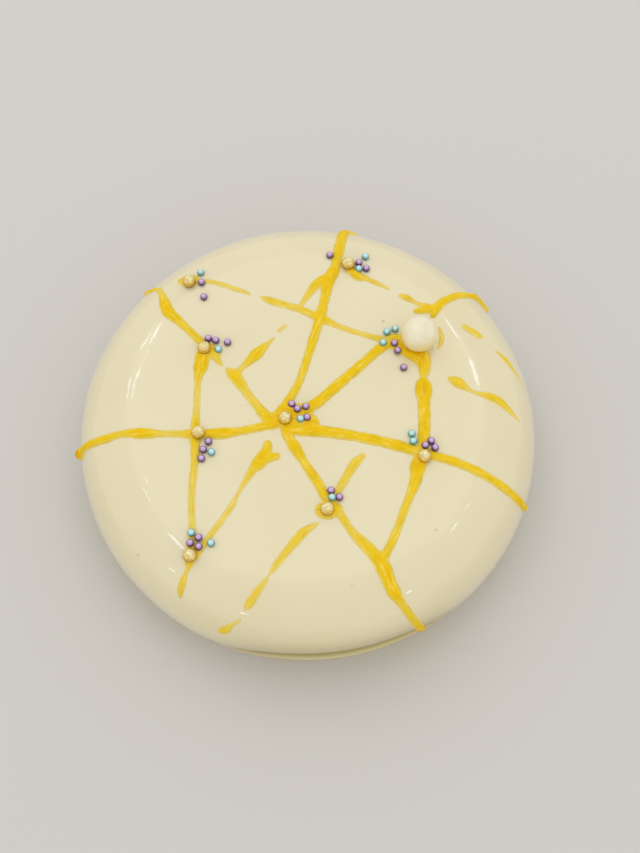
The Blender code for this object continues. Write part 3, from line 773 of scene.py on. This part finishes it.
# The small pearls are hard sugar beads with a coloured pearl lustre: violet ones and turquoise ones. They
# are pressed lightly into the glaze beside the gold ones, or float in the gel, and six more lie to the
# left of the big ball.
PEARL_RADIUS = 1.65 * MM
PEARL_LIFT = 0.8 * MM
PEARL_FLOATING = 0.7
PEARL_SEGMENTS = 24
PEARL_RINGS = 16
BALL_AT = (47.0, 32.2)
BALL_PURPLE = ((-10.2, -1.9), (-8.8, -5.2), (-6.3, -13.0))
BALL_TURQUOISE = ((-13.3, 4.0), (-9.7, 5.5), (-15.0, -1.6))


def step_from(start, steps):
    return [(start[0] + across, start[1] + along) for across, along in steps]


def scatter_pearls(name, places):
    return scatter_balls(name, places, PEARL_RADIUS, PEARL_LIFT, PEARL_SEGMENTS, PEARL_RINGS, PEARL_FLOATING)


def pearl_material(name, low, middle, high, metallic, roughness):
    """Coloured lustre with painted light: each bead is painted palest on top and deepest round its waist."""
    material, shader, add, link = new_material(name, roughness, coat=0.6)
    shader.inputs["Metallic"].default_value = metallic
    # Painted reflection and shade: pale on top of the bead, deep round its waist
    shades = colour_ramp(add, (0.40, low), (0.68, middle), (0.92, high))
    dust = add("ShaderNodeTexNoise", Scale=700.0)
    dust_bump = add("ShaderNodeBump", Strength=0.15, Distance=0.2 * MM)
    link(read_attribute(add, "rise"), shades.inputs["Fac"])
    link(shades.outputs["Color"], shader.inputs["Base Color"])
    link(add("ShaderNodeTexCoord").outputs["Object"], dust.inputs["Vector"])
    link(dust.outputs["Fac"], dust_bump.inputs["Height"])
    link(dust_bump.outputs["Normal"], shader.inputs["Normal"])
    return material


purple_places = step_from(BALL_AT, BALL_PURPLE)
turquoise_places = step_from(BALL_AT, BALL_TURQUOISE)
for gold_at, purple_steps, turquoise_steps in CLUSTERS:
    purple_places += step_from(gold_at, purple_steps)
    turquoise_places += step_from(gold_at, turquoise_steps)

violet = pearl_material(
    "violet lustre",
    low=(0.12, 0.05, 0.16),
    middle=(0.33, 0.18, 0.42),
    high=(0.64, 0.44, 0.74),
    metallic=0.30,
    roughness=0.25,
)
purple_pearls = scatter_pearls("purple_pearls", purple_places)
purple_pearls.data.materials.append(violet)
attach(purple_pearls, "root")
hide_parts("cake")

turquoise = pearl_material(
    "turquoise lustre",
    low=(0.13, 0.34, 0.35),
    middle=(0.28, 0.58, 0.60),
    high=(0.54, 0.86, 0.88),
    metallic=0.12,
    roughness=0.30,
)
turquoise_pearls = scatter_pearls("turquoise_pearls", turquoise_places)
turquoise_pearls.data.materials.append(turquoise)
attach(turquoise_pearls, "root")
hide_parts("cake")

# The big ball is moulded white chocolate with a satin skin. It rests in a shallow seat in the glaze. Its
# lower part is tinted yellow, a painted reflection of the gel round its seat.
BALL_RADIUS = 7.75 * MM
BALL_LIFT = 7.0 * MM

chocolate_ball = scatter_balls(
    "white_chocolate_ball", [BALL_AT], BALL_RADIUS, BALL_LIFT, segments=64, rings=40
)

chocolate, chocolate_shader, add, link = new_material("white chocolate", roughness=0.30, coat=0.25)
bloom = add("ShaderNodeTexNoise", Scale=160.0, Detail=3.0)
bloom_colours = colour_ramp(add, (0.35, (0.88, 0.79, 0.55)), (0.65, (0.92, 0.85, 0.66)))
painted_gel_reflection = colour_ramp(add, (0.10, (0.98, 0.90, 0.62)), (0.65, WHITE))
bloom_bump = add("ShaderNodeBump", Strength=0.2, Distance=0.5 * MM)
link(add("ShaderNodeTexCoord").outputs["Object"], bloom.inputs["Vector"])
link(bloom.outputs["Fac"], bloom_colours.inputs["Fac"])
link(read_attribute(add, "rise"), painted_gel_reflection.inputs["Fac"])
colour = shade_colour(add, link, bloom_colours.outputs["Color"], painted_gel_reflection)
link(colour, chocolate_shader.inputs["Base Color"])
link(bloom.outputs["Fac"], bloom_bump.inputs["Height"])
link(bloom_bump.outputs["Normal"], chocolate_shader.inputs["Normal"])
chocolate_ball.data.materials.append(chocolate)
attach(chocolate_ball, "root")
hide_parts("chocolate_ball")
